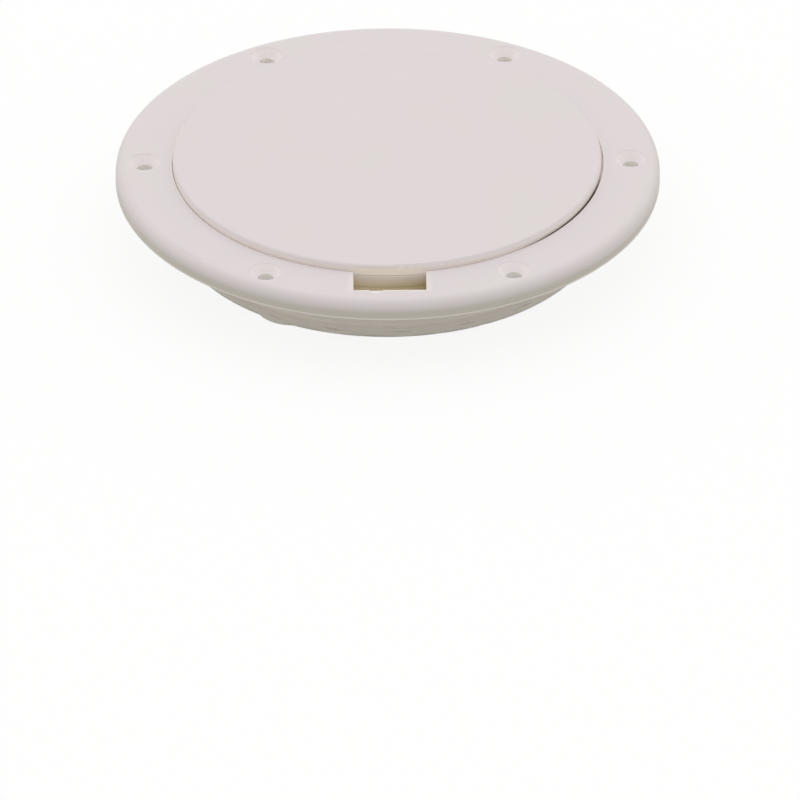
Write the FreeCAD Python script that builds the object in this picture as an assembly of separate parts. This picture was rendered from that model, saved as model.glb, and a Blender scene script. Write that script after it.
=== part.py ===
import FreeCAD, Part
import math
import os

# Deck inspection plate: a ring that is screwed down over a round hole in a deck, a plain round
# cover that is pried up out of it, and the rubber seal in the cover's groove.
# Millimetres. +Z is up, away from the deck. The origin is on the plate's axis, on the plane where
# the flange sits on the deck. The notch for prying the cover up is at the front, -Y.

# Ring: the round way through it, and the flange that runs out from there
OPENING_DIAMETER = 151.2
FLANGE_WIDTH = 26.0
FLANGE_THICKNESS = 7.4
FLANGE_EDGE_RADIUS = 4.0
FLANGE_LOWER_EDGE_RADIUS = 0.4

# Ring: collar below the flange
COLLAR_WALL = 4.4
COLLAR_DEPTH = 21.2
LIP_OUTER_RADIUS = 1.8
LIP_INNER_RADIUS = 0.8
ROOT_CONE_WIDTH = 4.8
ROOT_CONE_HEIGHT = 3.4

# Ring: screw thread round the collar
THREAD_PITCH = 4.3
THREAD_HEIGHT = 1.5
THREAD_CREST_WIDTH = 0.8
THREAD_ROOT_WIDTH = 2.2
THREAD_START_ABOVE_LIP = 1.3
THREAD_END_BELOW_FLANGE = 3.2
THREAD_START_ANGLE = -6.0
THREAD_FOOT_SINK = 0.3
THREAD_SINK = 2.2

# Ring: row of short lugs between the lip and the thread, rising with it
LUG_COUNT = 5
LUG_START_ANGLE = -122.0
LUG_SPACING = 17.6
LUG_PROUD = 0.7
LUG_SINK = 2.8
LUG_ROUND_RADIUS = 14.0
LUG_ABOVE_LIP = 1.1
FIRST_LUG_ABOVE_LIP = 0.2
LUG_TOP_ABOVE_LIP = 2.7

# Ring: seat for the cover
SEAT_WIDTH = 4.85
REBATE_DEPTH = 1.75
REBATE_EDGE_RADIUS = 0.3
BORE_LEAD_IN = 0.8

# Ring: pry notch
NOTCH_WIDTH = 26.6
NOTCH_REACH = 12.25
NOTCH_FLOOR_THICKNESS = 0.9
NOTCH_UNDER_RIM = 0.3
NOTCH_CORNER_RADIUS = 0.5
GATE_SCAR_RADIUS = 2.5
GATE_SCAR_DEPTH = 0.3
GATE_SCAR_OFFSET = -5.0
GATE_SCAR_INSET = 0.2

# Ring: screw holes
HOLE_COUNT = 6
HOLE_INSET = 10.9
HOLE_DIAMETER = 6.0
COUNTERSINK_DIAMETER = 12.0
COUNTERSINK_ANGLE = 90.0
PIN_MARK_DIAMETER = 9.4
PIN_MARK_DEPTH = 0.2

# Cover
COVER_PLATE_THICKNESS = 4.3
COVER_EDGE_RADIUS = 1.2
COVER_LOWER_EDGE_RADIUS = 0.4
SKIRT_DEPTH = 25.0
SKIRT_WALL = 9.1
SKIRT_OUTER_DRAFT = 0.4
SKIRT_INNER_DRAFT = 1.0
SKIRT_RIM_RADIUS = 0.4
POCKET_FLOOR_RADIUS = 1.0

# Cover: stiffening cross
ARM_COUNT = 4
ARM_WIDTH = 3.5
ARM_DRAFT = 0.3
ARM_HEIGHT = 13.0
END_BOSS_DIAMETER = 8.5
END_BOSS_REACH = 3.3
CENTRE_BOSS_DIAMETER = 8.1
CENTRE_BOSS_STEP = 0.3

# Seal in the cover's groove
SEAL_SECTION_DIAMETER = 3.5
SEAL_BELOW_RIM = 6.6
GROOVE_SIDE_CLEARANCE = 0.4
GROOVE_ROOT_CLEARANCE = 0.1

# Clearances between the ring and what lifts out of it
RIM_CLEARANCE = 0.43
SEAT_CLEARANCE = 0.1
SKIRT_CLEARANCE = 1.1
SEAL_CLEARANCE = 0.45

# Where the cover lies in its clearance: hard over to the left, a little to the back
COVER_SHIFT_LEFT = 0.27
COVER_SHIFT_BACK = 0.12

# How far cutting tools run past the faces that they open
OVERRUN = 2.0

# Sizes that follow from the ones above
opening_radius = OPENING_DIAMETER / 2
flange_radius = opening_radius + FLANGE_WIDTH
collar_radius = opening_radius + COLLAR_WALL
rebate_radius = opening_radius + SEAT_WIDTH
hole_circle_radius = flange_radius - HOLE_INSET
cover_radius = rebate_radius - RIM_CLEARANCE
seat_z = FLANGE_THICKNESS - REBATE_DEPTH
rim_z = seat_z + SEAT_CLEARANCE
cover_top_z = rim_z + COVER_PLATE_THICKNESS
inside_plate_z = rim_z + COVER_PLATE_THICKNESS / 2
skirt_rim_z = rim_z - SKIRT_DEPTH
skirt_radius = opening_radius - SKIRT_CLEARANCE
skirt_inner_radius = skirt_radius - SKIRT_WALL
arm_edge_z = rim_z - ARM_HEIGHT
seal_z = rim_z - SEAL_BELOW_RIM
seal_radius = opening_radius - SEAL_CLEARANCE - SEAL_SECTION_DIAMETER / 2


def point(radius, z):
    """A point of a half section, in the plane where x is the radius."""
    return FreeCAD.Vector(radius, 0, z)


def rounded_outline(corners):
    """Closed outline through corners (radius, z, rounding), with an arc where rounding isn't 0."""
    places = [point(r, z) for r, z, rounding in corners]
    edges = []
    starts = []
    ends = []
    for i, (r, z, rounding) in enumerate(corners):
        here = places[i]
        back = (places[i - 1] - here).normalize()
        ahead = (places[(i + 1) % len(places)] - here).normalize()
        half_angle = back.getAngle(ahead) / 2
        if rounding == 0:
            starts.append(here)
            ends.append(here)
            continue
        reach = rounding / math.tan(half_angle)
        start = here + back * reach
        end = here + ahead * reach
        bisector = (back + ahead).normalize()
        middle = here + bisector * (rounding / math.sin(half_angle) - rounding)
        edges.append((i, Part.Arc(start, middle, end).toShape()))
        starts.append(start)
        ends.append(end)
    for i in range(len(corners)):
        following = (i + 1) % len(corners)
        edges.append((i + 0.5, Part.makeLine(ends[i], starts[following])))
    ordered = [edge for place, edge in sorted(edges, key=lambda item: item[0])]
    return Part.Wire(ordered)


def turned(corners):
    """Solid of revolution about the plate's axis from the corners of its half section."""
    face = Part.Face(rounded_outline(corners))
    return face.revolve(FreeCAD.Vector(0, 0, 0), FreeCAD.Vector(0, 0, 1), 360)


def cylinder(radius, low_z, high_z, x=0, y=0):
    """Upright cylinder between two heights."""
    return Part.makeCylinder(radius, high_z - low_z, FreeCAD.Vector(x, y, low_z))


def as_it_lies(shape):
    """Moves a piece of the cover off the plate's axis, to where the cover lies in the ring."""
    shape.translate(FreeCAD.Vector(-COVER_SHIFT_LEFT, COVER_SHIFT_BACK, 0))
    return shape


def polar_copies(shape, count):
    """The shape and its copies, evenly spaced about the plate's axis."""
    copies = []
    for i in range(count):
        copy = shape.copy()
        copy.rotate(FreeCAD.Vector(0, 0, 0), FreeCAD.Vector(0, 0, 1), 360 * i / count)
        copies.append(copy)
    return copies


def ring_body():
    """Flange, seat and collar of the ring, turned as one section."""
    return turned([
        (opening_radius, -COLLAR_DEPTH, LIP_INNER_RADIUS),
        (collar_radius, -COLLAR_DEPTH, LIP_OUTER_RADIUS),
        (collar_radius, -ROOT_CONE_HEIGHT, 0),
        (collar_radius + ROOT_CONE_WIDTH, 0, 0),
        (flange_radius, 0, FLANGE_LOWER_EDGE_RADIUS),
        (flange_radius, FLANGE_THICKNESS, FLANGE_EDGE_RADIUS),
        (rebate_radius, FLANGE_THICKNESS, REBATE_EDGE_RADIUS),
        (rebate_radius, seat_z, 0),
        (opening_radius + BORE_LEAD_IN, seat_z, 0),
        (opening_radius, seat_z - BORE_LEAD_IN, 0),
    ])


def collar_thread():
    """Right-hand thread rib, from a blunt start at the lip up to the cone under the flange."""
    start_z = -COLLAR_DEPTH + THREAD_START_ABOVE_LIP
    rise = -THREAD_END_BELOW_FLANGE - start_z
    helix = Part.makeHelix(THREAD_PITCH, rise, collar_radius)
    crest = collar_radius + THREAD_HEIGHT
    foot = collar_radius - THREAD_FOOT_SINK
    inside = collar_radius - THREAD_SINK
    section = Part.makePolygon([
        point(inside, -THREAD_ROOT_WIDTH / 2),
        point(foot, -THREAD_ROOT_WIDTH / 2),
        point(crest, -THREAD_CREST_WIDTH / 2),
        point(crest, THREAD_CREST_WIDTH / 2),
        point(foot, THREAD_ROOT_WIDTH / 2),
        point(inside, THREAD_ROOT_WIDTH / 2),
        point(inside, -THREAD_ROOT_WIDTH / 2),
    ])
    rib = Part.Wire(helix).makePipeShell([section], True, True)
    rib.translate(FreeCAD.Vector(0, 0, start_z))
    rib.rotate(FreeCAD.Vector(0, 0, 0), FreeCAD.Vector(0, 0, 1), THREAD_START_ANGLE)
    return rib


def lug(low_z, high_z):
    """Lens-shaped lug that stands a little proud of the collar, its root sunk in the wall."""
    centre = collar_radius + LUG_PROUD - LUG_ROUND_RADIUS
    inside = cylinder(collar_radius - LUG_SINK, low_z - OVERRUN, high_z + OVERRUN)
    return cylinder(LUG_ROUND_RADIUS, low_z, high_z, centre).cut(inside)


def lip_lugs():
    """The row of lugs. The first reaches down to the lip and fills its rounding there."""
    lugs = []
    for i in range(LUG_COUNT):
        rise = THREAD_PITCH * i * LUG_SPACING / 360
        above_lip = LUG_ABOVE_LIP
        if i == 0:
            above_lip = FIRST_LUG_ABOVE_LIP
        low_z = -COLLAR_DEPTH + above_lip + rise
        high_z = -COLLAR_DEPTH + LUG_TOP_ABOVE_LIP + rise
        piece = lug(low_z, high_z)
        angle = LUG_START_ANGLE + i * LUG_SPACING
        piece.rotate(FreeCAD.Vector(0, 0, 0), FreeCAD.Vector(0, 0, 1), angle)
        lugs.append(piece)
    return lugs


def screw_hole_tools():
    """Through holes with their countersinks, and the shallow mark of the mould's pin below."""
    hole_radius = HOLE_DIAMETER / 2
    sink_radius = COUNTERSINK_DIAMETER / 2
    slope = math.tan(math.radians(COUNTERSINK_ANGLE / 2))
    sink_depth = (sink_radius - hole_radius) / slope
    low = FLANGE_THICKNESS - sink_depth
    place = FreeCAD.Vector(hole_circle_radius, 0, low)
    hole = cylinder(hole_radius, -OVERRUN, FLANGE_THICKNESS + OVERRUN, hole_circle_radius)
    sink = Part.makeCone(hole_radius, sink_radius, sink_depth, place)
    mouth = cylinder(sink_radius, FLANGE_THICKNESS, FLANGE_THICKNESS + OVERRUN, hole_circle_radius)
    mark = cylinder(PIN_MARK_DIAMETER / 2, -OVERRUN, PIN_MARK_DEPTH, hole_circle_radius)
    tool = hole.fuse([sink, mouth, mark])
    return polar_copies(tool, HOLE_COUNT)


def pry_notch_tool():
    """Pocket in the flange that lets a blade in under the cover's rim."""
    back_radius = cover_radius - NOTCH_UNDER_RIM
    near_y = -(cover_radius + NOTCH_REACH)
    height = FLANGE_THICKNESS + OVERRUN - NOTCH_FLOOR_THICKNESS
    corner = FreeCAD.Vector(-NOTCH_WIDTH / 2, near_y, NOTCH_FLOOR_THICKNESS)
    block = Part.makeBox(NOTCH_WIDTH, -near_y, height, corner)
    upright = []
    for edge in block.Edges:
        box = edge.BoundBox
        if box.ZLength > height / 2 and abs(box.YMin - near_y) < NOTCH_CORNER_RADIUS:
            upright.append(edge)
    block = block.makeFillet(NOTCH_CORNER_RADIUS, upright)
    wall = cylinder(back_radius, 0, FLANGE_THICKNESS + 2 * OVERRUN)
    return block.cut(wall)


def gate_scar_tool():
    """Shallow half-moon on the flange at the notch's near edge, where the sprue was cut off."""
    near_y = -(cover_radius + NOTCH_REACH)
    low = FLANGE_THICKNESS - GATE_SCAR_DEPTH
    high = FLANGE_THICKNESS + OVERRUN
    return cylinder(GATE_SCAR_RADIUS, low, high, GATE_SCAR_OFFSET, near_y + GATE_SCAR_INSET)


def deck_ring():
    """The screwed-down ring: flange, seat, notch, holes, collar, thread and lugs, one moulding."""
    ring = ring_body().fuse(collar_thread())
    ring = ring.fuse(lip_lugs())
    tools = screw_hole_tools()
    tools.append(pry_notch_tool())
    tools.append(gate_scar_tool())
    return ring.cut(tools)


def cover_body():
    """Round plate with its deep skirt, and the groove for the seal, turned as one section."""
    groove_half = SEAL_SECTION_DIAMETER / 2 + GROOVE_SIDE_CLEARANCE
    groove_root = seal_radius - SEAL_SECTION_DIAMETER / 2 - GROOVE_ROOT_CLEARANCE
    top_radius = skirt_radius + SKIRT_OUTER_DRAFT
    slope = SKIRT_OUTER_DRAFT / SKIRT_DEPTH
    above = top_radius - slope * (rim_z - seal_z - groove_half)
    below = top_radius - slope * (rim_z - seal_z + groove_half)
    return turned([
        (0, rim_z, 0),
        (skirt_inner_radius - SKIRT_INNER_DRAFT, rim_z, POCKET_FLOOR_RADIUS),
        (skirt_inner_radius, skirt_rim_z, 0),
        (skirt_radius, skirt_rim_z, SKIRT_RIM_RADIUS),
        (below, seal_z - groove_half, 0),
        (groove_root, seal_z - groove_half, 0),
        (groove_root, seal_z + groove_half, 0),
        (above, seal_z + groove_half, 0),
        (top_radius, rim_z, 0),
        (cover_radius, rim_z, COVER_LOWER_EDGE_RADIUS),
        (cover_radius, cover_top_z, COVER_EDGE_RADIUS),
        (0, cover_top_z, 0),
    ])


def arm():
    """One drafted arm of the cross, from the plate's axis into the skirt."""
    reach = skirt_inner_radius + END_BOSS_REACH
    half_edge = ARM_WIDTH / 2
    half_root = half_edge + ARM_DRAFT
    section = Part.makePolygon([
        FreeCAD.Vector(0, -half_edge, arm_edge_z),
        FreeCAD.Vector(0, half_edge, arm_edge_z),
        FreeCAD.Vector(0, half_root, rim_z),
        FreeCAD.Vector(0, half_root, inside_plate_z),
        FreeCAD.Vector(0, -half_root, inside_plate_z),
        FreeCAD.Vector(0, -half_root, rim_z),
        FreeCAD.Vector(0, -half_edge, arm_edge_z),
    ])
    return Part.Face(section).extrude(FreeCAD.Vector(reach, 0, 0))


def end_boss():
    """Round boss at the end of an arm, half sunk in the skirt and as deep as it."""
    radius = END_BOSS_DIAMETER / 2
    centre = skirt_inner_radius - END_BOSS_REACH + radius
    return cylinder(radius, skirt_rim_z, inside_plate_z, centre)


def centre_boss():
    """Round boss where the arms meet, standing a little past their edge."""
    return cylinder(CENTRE_BOSS_DIAMETER / 2, arm_edge_z - CENTRE_BOSS_STEP, inside_plate_z)


def cover():
    """The cover that lifts out: plate, skirt, cross and bosses, one moulding."""
    cross = [centre_boss()]
    cross.extend(polar_copies(arm(), ARM_COUNT))
    cross.extend(polar_copies(end_boss(), ARM_COUNT))
    return as_it_lies(cover_body().fuse(cross).removeSplitter())


def o_ring():
    """Round-section rubber seal in the skirt's groove."""
    centre = FreeCAD.Vector(0, 0, seal_z)
    return as_it_lies(Part.makeTorus(seal_radius, SEAL_SECTION_DIAMETER / 2, centre))


os.makedirs("parts", exist_ok=True)
NODES = {
    "deck_ring": deck_ring,
    "cover": cover,
    "o_ring": o_ring,
}
for name, build in NODES.items():
    shape = build()
    shape.exportStep("parts/" + name + ".step")
    print(name, "solids", len(shape.Solids), "valid", shape.isValid(), "volume", round(shape.Volume))
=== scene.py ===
import bpy
import math
from mathutils import Matrix, Vector


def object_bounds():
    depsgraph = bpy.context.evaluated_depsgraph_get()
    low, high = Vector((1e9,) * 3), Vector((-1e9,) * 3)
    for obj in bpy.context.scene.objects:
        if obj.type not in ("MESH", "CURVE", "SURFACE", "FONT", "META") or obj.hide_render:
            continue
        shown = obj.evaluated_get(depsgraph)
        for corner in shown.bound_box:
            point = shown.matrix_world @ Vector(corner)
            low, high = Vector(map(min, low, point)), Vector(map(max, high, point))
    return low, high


# Dresses a moulded deck inspection plate: its ring, cover and seal come from model.glb and get
# their materials here. Metres, +Z up, the pry notch at the front, -Y.

# Camera: long lens, so that the far and near rims have almost the same scale. The azimuth is
# counted from straight in front, towards the right.
CAMERA_DISTANCE = 3.0
CAMERA_AZIMUTH = math.radians(-0.45)
CAMERA_ELEVATION = math.radians(30.90)
CAMERA_ROLL = math.radians(-0.168)
SENSOR_WIDTH = 36.0
FRAME_PIXELS = 800
PIXELS_PER_METRE = 2675.5
ORIGIN_PIXEL = (387.72, 177.1)

# Light: an even dome, a little brighter behind the part and a little warmer low down
WHITE = (1.0, 1.0, 1.0, 1.0)
DOME_EVEN = 0.89
DOME_BEHIND = 0.24
DOME_LOW = (0.98, 1.0, 0.74, 1.0)
DOME_WHITE_FROM = 0.7

# Floor: white to the camera and in reflections, with the part's soft shadow
FLOOR_SIZE = 8.0
FLOOR_GAP = 0.0001
FLOOR_BOUNCE = 0.40
FLOOR_SEEN_GLOW = 0.88
FLOOR_SEEN_DIFFUSE = 0.13


def linear(red, green, blue):
    """Scene-linear colour from an sRGB one with values up to 255."""
    return tuple(((v / 255 + 0.055) / 1.055) ** 2.4 for v in (red, green, blue)) + (1.0,)


# Moulded plastic: two tints in faint clouds, a warmer painted shade in recesses, and a paler colour
# underneath that paints light onto its shade
PLASTIC_ROSY = linear(234, 223, 229)
PLASTIC_CREAM = linear(232, 224, 227)
PLASTIC_SHADED = linear(214, 200, 180)
PLASTIC_WHITE = linear(253, 245, 244)
CLOUD_SCALE = 28.0
CLOUD_NOISE = (0.3, 0.7)
UNDERSIDE_Z = (0.0, 0.0001)
RECESS_REACH = 0.004
RECESS_SAMPLES = 8
RECESS_OPENNESS = (0.1, 0.6)
RECESS_AMOUNT = 0.5
RECESS_BELOW_DECK = 0.4
RECESS_BELOW_Z = (-0.0009, -0.0005)

# Its sheen varies a little, over a very fine grain and broad, shallow waves
SHEEN_SCALE = 160.0
SHEEN_NOISE = (0.25, 0.75)
PLASTIC_ROUGHNESS = (0.40, 0.52)
GRAIN_SCALE = 2600.0
GRAIN_BUMP = {"Strength": 0.12, "Distance": 0.00008}
WAVE_SCALE = 45.0
WAVE_BUMP = {"Strength": 0.25, "Distance": 0.00012}

# Painted light and shade, where the moulding is painted paler or darker: span of radius, span of
# height, fade, amount, colour
EDGE_FADE = 0.0004
# Zone colours: a painted shade, then paler colours painted as light
PLASTIC_SIDE_SHADE = linear(222, 214, 206)
PLASTIC_PALE = linear(254, 245, 243)
PLASTIC_COUNTERSINK = linear(248, 239, 243)
PLASTIC_HOLE = linear(250, 246, 243)
SHADE_ZONES = (
    # Flange's side, in painted shade, and its lower edge, with a painted highlight
    ((0.1000, 0.1020), (0.0008, 0.0026), 0.0018, 0.8, PLASTIC_SIDE_SHADE),
    ((0.1005, 0.1020), (0.0003, 0.0007), EDGE_FADE, 1.0, PLASTIC_WHITE),
    # Cover's side, and the joint between it and its seat, both painted paler as light against their
    # shade
    ((0.0782, 0.0803), (0.0074, 0.0089), EDGE_FADE, 0.5, PLASTIC_PALE),
    ((0.0782, 0.0808), (0.0055, 0.0072), EDGE_FADE, 1.0, PLASTIC_WHITE),
    # Countersinks and screw holes, painted paler as light against their shade
    ((0.0845, 0.0969), (0.0002, 0.0070), EDGE_FADE, 0.9, PLASTIC_COUNTERSINK),
    ((0.0845, 0.0969), (0.0002, 0.0044), EDGE_FADE, 1.0, PLASTIC_HOLE),
)

# Painted shadow in the joint round the cover, at the right front
PLASTIC_JOINT_SHADOW = linear(127, 111, 97)
JOINT_RADIUS = (0.0796, 0.0806)
JOINT_HEIGHT = (0.0050, 0.0070)
JOINT_X = (0.060, 0.090)
JOINT_Y = (-0.055, -0.025)
JOINT_FADE = 0.015

# Painted shade in the pry notch, warmer and darker the deeper it is and towards the right, and painted
# light on the cover's side above it
PLASTIC_NOTCH_LEFT = linear(227, 217, 186)
PLASTIC_NOTCH_RIGHT = linear(203, 189, 150)
PLASTIC_NOTCH_FLOOR = linear(160, 147, 118)
PLASTIC_LIT_SIDE = linear(254, 246, 242)
NOTCH_X = (-0.0136, 0.0136)
NOTCH_Y = (-0.0926, -0.0770)
NOTCH_Z = (0.0009, 0.0057)
NOTCH_DARKER_Y = (-0.0880, -0.0815)
NOTCH_NEAR_AMOUNT = 0.25
NOTCH_FLOOR_Z = (0.0005, 0.0010)
NOTCH_FLOOR_FADE = 0.0001
NOTCH_FLOOR_AMOUNT = 0.35
LIT_SIDE_X = (-0.010, 0.010)
LIT_SIDE_Z = (0.0060, 0.0087)
LIT_SIDE_FADE = 0.006

# Seal's rubber, with a faint bloom
RUBBER_BLACK = linear(24, 24, 25)
RUBBER_BLOOM = linear(44, 43, 42)
RUBBER_ROUGHNESS = (0.5, 0.75)
BLOOM_SCALE = 240.0
RUBBER_GRAIN_SCALE = 3000.0
RUBBER_BUMP = {"Strength": 0.2, "Distance": 0.0001}


def node(tree, kind, **values):
    """A new node, with the given values set on its sockets by name or on itself."""
    made = tree.nodes.new(kind)
    for name, value in values.items():
        socket = made.inputs.get(name)
        if socket is not None:
            socket.default_value = value
        else:
            setattr(made, name, value)
    return made


def new_material(name):
    """An empty node material, its tree and its output node."""
    material = bpy.data.materials.new(name)
    material.use_nodes = True
    tree = material.node_tree
    tree.nodes.clear()
    return material, tree, node(tree, "ShaderNodeOutputMaterial")


def new_surface(name):
    """A node material with a principled shader, its tree and that shader."""
    material, tree, output = new_material(name)
    shader = node(tree, "ShaderNodeBsdfPrincipled")
    tree.links.new(shader.outputs["BSDF"], output.inputs["Surface"])
    return material, tree, shader


def dress(piece, material):
    """Gives a carried-over part its material."""
    piece.data.materials.clear()
    piece.data.materials.append(material)


def noise(tree, place, scale, detail=2.0):
    """Noise over the part's own place, with about scale lumps to the metre."""
    made = node(tree, "ShaderNodeTexNoise", Scale=scale, Detail=detail)
    tree.links.new(place, made.inputs["Vector"])
    return made.outputs["Fac"]


def span(tree, value, low, high, from_low=0.0, from_high=1.0):
    """The value mapped from one span to another."""
    made = node(tree, "ShaderNodeMapRange")
    made.inputs["From Min"].default_value = from_low
    made.inputs["From Max"].default_value = from_high
    made.inputs["To Min"].default_value = low
    made.inputs["To Max"].default_value = high
    tree.links.new(value, made.inputs["Value"])
    return made.outputs["Result"]


def blend(tree, factor, first, second):
    """Mix of two colours, each a socket or a plain colour."""
    made = node(tree, "ShaderNodeMix", data_type="RGBA")
    tree.links.new(factor, made.inputs["Factor"])
    for colour, socket in ((first, made.inputs[6]), (second, made.inputs[7])):
        if isinstance(colour, tuple):
            socket.default_value = colour
        else:
            tree.links.new(colour, socket)
    return made.outputs[2]


def math_node(tree, operation, first, second):
    """Result of an operation on two values, each a socket or a plain number."""
    made = node(tree, "ShaderNodeMath", operation=operation)
    for value, socket in zip((first, second), made.inputs):
        if isinstance(value, float):
            socket.default_value = value
        else:
            tree.links.new(value, socket)
    return made.outputs["Value"]


def product(tree, first, *others):
    """Product of two or more values, each a socket or a plain number."""
    for other in others:
        first = math_node(tree, "MULTIPLY", first, other)
    return first


def within(tree, value, limits, fade=EDGE_FADE):
    """One where the value is inside its limits, and nought a fade's width outside them."""
    low, high = limits
    above = span(tree, value, 0.0, 1.0, low - fade, low)
    return product(tree, above, span(tree, value, 1.0, 0.0, high, high + fade))


def bump(tree, height, values, over=None):
    """Normal of a surface with that height, on top of another such surface if one is given."""
    made = node(tree, "ShaderNodeBump", **values)
    tree.links.new(height, made.inputs["Height"])
    if over is not None:
        tree.links.new(over, made.inputs["Normal"])
    return made.outputs["Normal"]


def seen_rays(tree):
    """One for rays of the camera, of reflections and of transmission, otherwise nought."""
    path = node(tree, "ShaderNodeLightPath").outputs
    reflected = math_node(tree, "MAXIMUM", path["Is Glossy Ray"], path["Is Transmission Ray"])
    return math_node(tree, "MAXIMUM", path["Is Camera Ray"], reflected)


def distance_from_axis(tree, place):
    """Distance of the part's own place from the plate's axis."""
    level = node(tree, "ShaderNodeVectorMath", operation="MULTIPLY")
    level.inputs[1].default_value = (1, 1, 0)
    tree.links.new(place, level.inputs[0])
    length = node(tree, "ShaderNodeVectorMath", operation="LENGTH")
    tree.links.new(level.outputs["Vector"], length.inputs[0])
    return length.outputs["Value"]


def shade_joint_shadow(tree, tint, x, y, z, radius):
    """The tint with a painted shadow in the joint round the cover."""
    joint = product(tree, within(tree, radius, JOINT_RADIUS), within(tree, z, JOINT_HEIGHT))
    side = product(tree, within(tree, x, JOINT_X, JOINT_FADE), within(tree, y, JOINT_Y, JOINT_FADE))
    return blend(tree, product(tree, joint, side), tint, PLASTIC_JOINT_SHADOW)


def shade_notch(tree, tint, x, y, z):
    """The tint with painted shade in the pry notch, and painted light on the cover's side above it."""
    side = product(tree, within(tree, x, LIT_SIDE_X, LIT_SIDE_FADE), within(tree, y, NOTCH_Y))
    side = product(tree, side, within(tree, z, LIT_SIDE_Z))
    tint = blend(tree, side, tint, PLASTIC_LIT_SIDE)
    notch = product(tree, within(tree, x, NOTCH_X), within(tree, y, NOTCH_Y))
    sunk = product(tree, notch, within(tree, z, NOTCH_Z), span(tree, z, 1.0, 0.0, *NOTCH_Z))
    sunk = product(tree, sunk, span(tree, y, NOTCH_NEAR_AMOUNT, 1.0, *NOTCH_DARKER_Y))
    warm = blend(tree, span(tree, x, 0.0, 1.0, *NOTCH_X), PLASTIC_NOTCH_LEFT, PLASTIC_NOTCH_RIGHT)
    tint = blend(tree, sunk, tint, warm)
    floor = within(tree, z, NOTCH_FLOOR_Z, NOTCH_FLOOR_FADE)
    return blend(tree, product(tree, sunk, floor, NOTCH_FLOOR_AMOUNT), tint, PLASTIC_NOTCH_FLOOR)


def moulded_plastic(name, shift):
    """White moulded plastic: faint cloudy tint, painted shade in its recesses and other painted light
    and shade, fine grain.
    """
    material, tree, shader = new_surface(name)
    place = node(tree, "ShaderNodeTexCoord").outputs["Object"]
    spot = node(tree, "ShaderNodeSeparateXYZ")
    tree.links.new(place, spot.inputs["Vector"])
    x, y, z = spot.outputs
    radius = distance_from_axis(tree, place)
    moved = node(tree, "ShaderNodeMapping", Location=(shift, -shift, shift))
    tree.links.new(place, moved.inputs["Vector"])
    place = moved.outputs["Vector"]

    clouds = span(tree, noise(tree, place, CLOUD_SCALE, 3.0), 0.0, 1.0, *CLOUD_NOISE)
    tint = blend(tree, clouds, PLASTIC_ROSY, PLASTIC_CREAM)
    # Painted light: everything below the deck is paler, to lift its shade
    tint = blend(tree, span(tree, z, 1.0, 0.0, *UNDERSIDE_Z), tint, PLASTIC_WHITE)
    # Painted shade: a warmer, darker colour where ambient occlusion finds a recess, weaker under the
    # deck
    open_sky = node(tree, "ShaderNodeAmbientOcclusion", samples=RECESS_SAMPLES, Distance=RECESS_REACH)
    recess = span(tree, open_sky.outputs["AO"], RECESS_AMOUNT, 0.0, *RECESS_OPENNESS)
    recess = product(tree, recess, span(tree, z, RECESS_BELOW_DECK, 1.0, *RECESS_BELOW_Z))
    tint = blend(tree, recess, tint, PLASTIC_SHADED)
    for around, height, fade, amount, shade in SHADE_ZONES:
        there = product(tree, within(tree, radius, around), within(tree, z, height, fade), amount)
        tint = blend(tree, there, tint, shade)
    # Painted shadow in the joint round the cover
    tint = shade_joint_shadow(tree, tint, x, y, z, radius)
    # Painted shade in the pry notch, painted light on the cover's side above it
    tint = shade_notch(tree, tint, x, y, z)
    tree.links.new(tint, shader.inputs["Base Color"])

    sheen = noise(tree, place, SHEEN_SCALE, 4.0)
    tree.links.new(span(tree, sheen, *PLASTIC_ROUGHNESS, *SHEEN_NOISE), shader.inputs["Roughness"])
    waves = bump(tree, noise(tree, place, WAVE_SCALE, 1.0), WAVE_BUMP)
    grain = bump(tree, noise(tree, place, GRAIN_SCALE), GRAIN_BUMP, waves)
    tree.links.new(grain, shader.inputs["Normal"])
    return material


def seal_rubber():
    """Black rubber of the seal, with a faint bloom."""
    material, tree, shader = new_surface("seal_rubber")
    place = node(tree, "ShaderNodeTexCoord").outputs["Object"]
    bloom = noise(tree, place, BLOOM_SCALE, 4.0)
    tree.links.new(blend(tree, bloom, RUBBER_BLACK, RUBBER_BLOOM), shader.inputs["Base Color"])
    tree.links.new(span(tree, bloom, *RUBBER_ROUGHNESS), shader.inputs["Roughness"])
    grain = bump(tree, noise(tree, place, RUBBER_GRAIN_SCALE), RUBBER_BUMP)
    tree.links.new(grain, shader.inputs["Normal"])
    return material


def add_camera():
    """Camera that sees the part's origin at its pixel of the frame."""
    focal_pixels = PIXELS_PER_METRE * CAMERA_DISTANCE
    data = bpy.data.cameras.new("camera")
    data.sensor_width = SENSOR_WIDTH
    data.lens = SENSOR_WIDTH * focal_pixels / FRAME_PIXELS
    camera = bpy.data.objects.new("camera", data)
    bpy.context.scene.collection.objects.link(camera)
    level = math.cos(CAMERA_ELEVATION)
    across = -math.sin(CAMERA_AZIMUTH) * level
    along = math.cos(CAMERA_AZIMUTH) * level
    towards = Vector((across, along, -math.sin(CAMERA_ELEVATION)))
    camera.location = -towards * CAMERA_DISTANCE
    half = FRAME_PIXELS / 2
    seen = Vector((ORIGIN_PIXEL[0] - half, half - ORIGIN_PIXEL[1], -focal_pixels)).normalized()
    aim = Matrix.Rotation(-CAMERA_ROLL, 3, towards).to_quaternion() @ towards.to_track_quat("-Z", "Y")
    camera.rotation_mode = "QUATERNION"
    camera.rotation_quaternion = aim @ seen.rotation_difference(Vector((0, 0, -1)))
    bpy.context.scene.camera = camera


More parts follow.
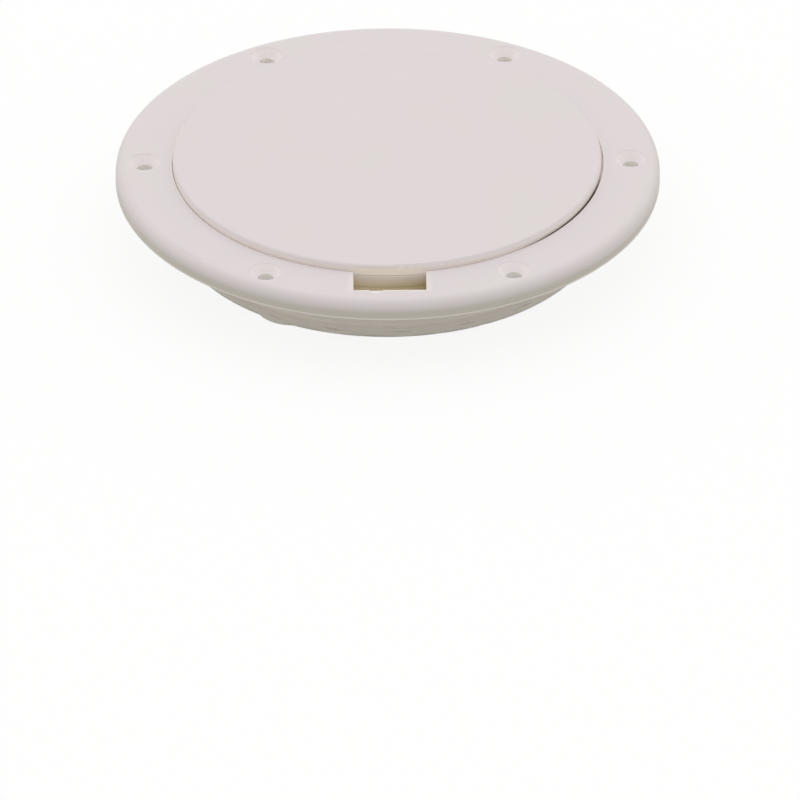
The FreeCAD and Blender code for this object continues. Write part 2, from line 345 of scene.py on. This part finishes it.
def add_world():
    """Soft dome of light, seen as white by the camera."""
    world = bpy.data.worlds.new("studio")
    world.use_nodes = True
    tree = world.node_tree
    tree.nodes.clear()
    direction = node(tree, "ShaderNodeTexCoord").outputs["Generated"]
    parts = node(tree, "ShaderNodeSeparateXYZ")
    tree.links.new(direction, parts.inputs["Vector"])
    light = node(tree, "ShaderNodeBackground")
    front, back = DOME_EVEN - DOME_BEHIND, DOME_EVEN + DOME_BEHIND
    tree.links.new(span(tree, parts.outputs["Y"], front, back, -1.0, 1.0), light.inputs["Strength"])
    height = span(tree, parts.outputs["Z"], 0.0, 1.0, 0.0, DOME_WHITE_FROM)
    tree.links.new(blend(tree, height, DOME_LOW, WHITE), light.inputs["Color"])
    seen = node(tree, "ShaderNodeBackground", Strength=1.0, Color=WHITE)
    mix = node(tree, "ShaderNodeMixShader")
    output = node(tree, "ShaderNodeOutputWorld")
    tree.links.new(seen_rays(tree), mix.inputs["Fac"])
    tree.links.new(light.outputs["Background"], mix.inputs[1])
    tree.links.new(seen.outputs["Background"], mix.inputs[2])
    tree.links.new(mix.outputs["Shader"], output.inputs["Surface"])
    bpy.context.scene.world = world


def grey(level):
    """A grey of that scene-linear level."""
    return (level, level, level, 1.0)


def floor_material():
    """White to the camera, with the part's soft shadow, and pale grey to other light."""
    material, tree, output = new_material("white_floor")
    glow = node(tree, "ShaderNodeEmission", Strength=FLOOR_SEEN_GLOW)
    seen = node(tree, "ShaderNodeBsdfDiffuse", Color=grey(FLOOR_SEEN_DIFFUSE))
    bounce = node(tree, "ShaderNodeBsdfDiffuse", Color=grey(FLOOR_BOUNCE))
    both = node(tree, "ShaderNodeAddShader")
    tree.links.new(glow.outputs["Emission"], both.inputs[0])
    tree.links.new(seen.outputs["BSDF"], both.inputs[1])
    mix = node(tree, "ShaderNodeMixShader")
    tree.links.new(seen_rays(tree), mix.inputs["Fac"])
    tree.links.new(bounce.outputs["BSDF"], mix.inputs[1])
    tree.links.new(both.outputs["Shader"], mix.inputs[2])
    tree.links.new(mix.outputs["Shader"], output.inputs["Surface"])
    return material


def add_floor(height):
    """Plain white floor under the part."""
    half = FLOOR_SIZE / 2
    mesh = bpy.data.meshes.new("floor")
    corners = [(x, y, height) for x, y in ((-half, -half), (half, -half), (half, half), (-half, half))]
    mesh.from_pydata(corners, [], [(0, 1, 2, 3)])
    floor = bpy.data.objects.new("floor", mesh)
    bpy.context.scene.collection.objects.link(floor)
    mesh.materials.append(floor_material())


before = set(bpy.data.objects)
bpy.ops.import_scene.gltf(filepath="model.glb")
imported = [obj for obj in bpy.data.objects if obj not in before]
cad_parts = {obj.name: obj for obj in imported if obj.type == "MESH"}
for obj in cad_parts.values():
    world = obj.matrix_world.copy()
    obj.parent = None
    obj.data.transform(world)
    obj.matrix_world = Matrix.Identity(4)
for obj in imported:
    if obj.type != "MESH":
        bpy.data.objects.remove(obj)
cad_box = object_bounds()
dress(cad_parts["deck_ring"], moulded_plastic("ring_plastic", 0.0))
dress(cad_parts["cover"], moulded_plastic("cover_plastic", 0.37))
dress(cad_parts["o_ring"], seal_rubber())
add_floor(cad_box[0].z - FLOOR_GAP)
add_world()
add_camera()
bpy.context.scene.view_settings.view_transform = "Standard"
